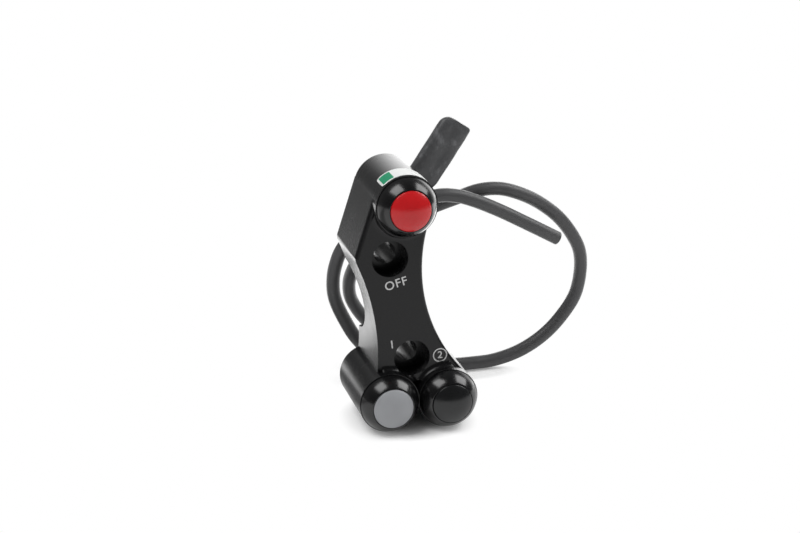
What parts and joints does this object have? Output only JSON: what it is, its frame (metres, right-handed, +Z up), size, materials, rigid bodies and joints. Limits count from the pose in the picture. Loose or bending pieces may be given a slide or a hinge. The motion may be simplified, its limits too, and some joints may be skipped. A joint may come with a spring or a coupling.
{
  "type": "handlebar switch cluster",
  "caption": "Handlebar switch cluster: milled clamp housing with sprung push buttons in domed bezels and a trailing cable.",
  "frame": {"origin": "under the middle of the housing and its buttons, on the surface that the lower barrels stand on", "axes": "+X right as seen from the front, +Y back towards the handlebar, +Z up; the buttons face -Y"},
  "size_m": [0.0876, 0.0679, 0.0879],
  "materials": {
    "anodised_body": "satin black anodised",
    "gloss_bezel": "gloss black",
    "seal_rubber": "matte black",
    "red_cap": "semi-gloss red",
    "grey_cap": "semi-gloss grey",
    "black_cap": "semi-gloss black",
    "spring_steel": "bright wire",
    "stem_plastic": "matte black",
    "switch_plastic": "matte black",
    "carrier_nylon": "natural nylon",
    "board_laminate": "green solder mask",
    "plug_metal": "satin black anodised",
    "red_insulation": "red lead",
    "grey_insulation": "grey lead",
    "black_insulation": "black lead",
    "gland_metal": "satin black anodised",
    "plated_steel": "zinc plated",
    "boot_rubber": "matte black",
    "cable_jacket": "matte dark grey",
    "shrink_sleeve": "shrunk sleeve, satin black",
    "label_film": "white film with a green end"
  },
  "bodies": {
    "body": {"housing": "anodised_body", "red_bezel": "gloss_bezel", "grey_bezel": "gloss_bezel", "black_bezel": "gloss_bezel", "red_seal": "seal_rubber", "grey_seal": "seal_rubber", "black_seal": "seal_rubber", "red_spring": "spring_steel", "grey_spring": "spring_steel", "black_spring": "spring_steel", "red_carrier": "carrier_nylon", "grey_carrier": "carrier_nylon", "black_carrier": "carrier_nylon", "red_switch": "switch_plastic", "grey_switch": "switch_plastic", "black_switch": "switch_plastic", "red_board": "board_laminate", "grey_board": "board_laminate", "black_board": "board_laminate", "red_rear_plug": "plug_metal", "grey_rear_plug": "plug_metal", "black_rear_plug": "plug_metal", "red_lead": "red_insulation", "grey_lead": "grey_insulation", "black_lead": "black_insulation", "cable_gland": "gland_metal", "gland_nut": "plated_steel", "strain_relief": "boot_rubber", "cable": "cable_jacket", "splice_sleeve": "shrink_sleeve", "covered_tail": "shrink_sleeve", "label": "label_film"},
    "red_button": {"red_cap": "red_cap", "red_cap_ring": "seal_rubber"},
    "grey_button": {"grey_cap": "grey_cap", "grey_cap_ring": "seal_rubber"},
    "black_button": {"black_cap": "black_cap", "black_cap_ring": "seal_rubber"},
    "red_plunger": {"red_stem": "stem_plastic"},
    "grey_plunger": {"grey_stem": "stem_plastic"},
    "black_plunger": {"black_stem": "stem_plastic"}
  },
  "joints": [
    {"name": "red_press", "type": "slide", "parent": "body", "child": "red_button", "axis": [0, 1, 0], "range_m": [0, 0.0015], "stiffness_N_per_m": 600, "springref_m": -0.002, "deforming": ["red_spring"]},
    {"name": "grey_press", "type": "slide", "parent": "body", "child": "grey_button", "axis": [0, 1, 0], "range_m": [0, 0.0015], "stiffness_N_per_m": 600, "springref_m": -0.002, "deforming": ["grey_spring"]},
    {"name": "black_press", "type": "slide", "parent": "body", "child": "black_button", "axis": [0, 1, 0], "range_m": [0, 0.0015], "stiffness_N_per_m": 600, "springref_m": -0.002, "deforming": ["black_spring"]},
    {"name": "red_stem_slide", "type": "slide", "parent": "body", "child": "red_plunger", "axis": [0, 1, 0], "range_m": [0, 0.0015]},
    {"name": "grey_stem_slide", "type": "slide", "parent": "body", "child": "grey_plunger", "axis": [0, 1, 0], "range_m": [0, 0.0015]},
    {"name": "black_stem_slide", "type": "slide", "parent": "body", "child": "black_plunger", "axis": [0, 1, 0], "range_m": [0, 0.0015]}
  ],
  "couplings": [
    {"joint": "red_stem_slide", "follows": "red_press", "ratio": 1},
    {"joint": "grey_stem_slide", "follows": "grey_press", "ratio": 1},
    {"joint": "black_stem_slide", "follows": "black_press", "ratio": 1}
  ]
}
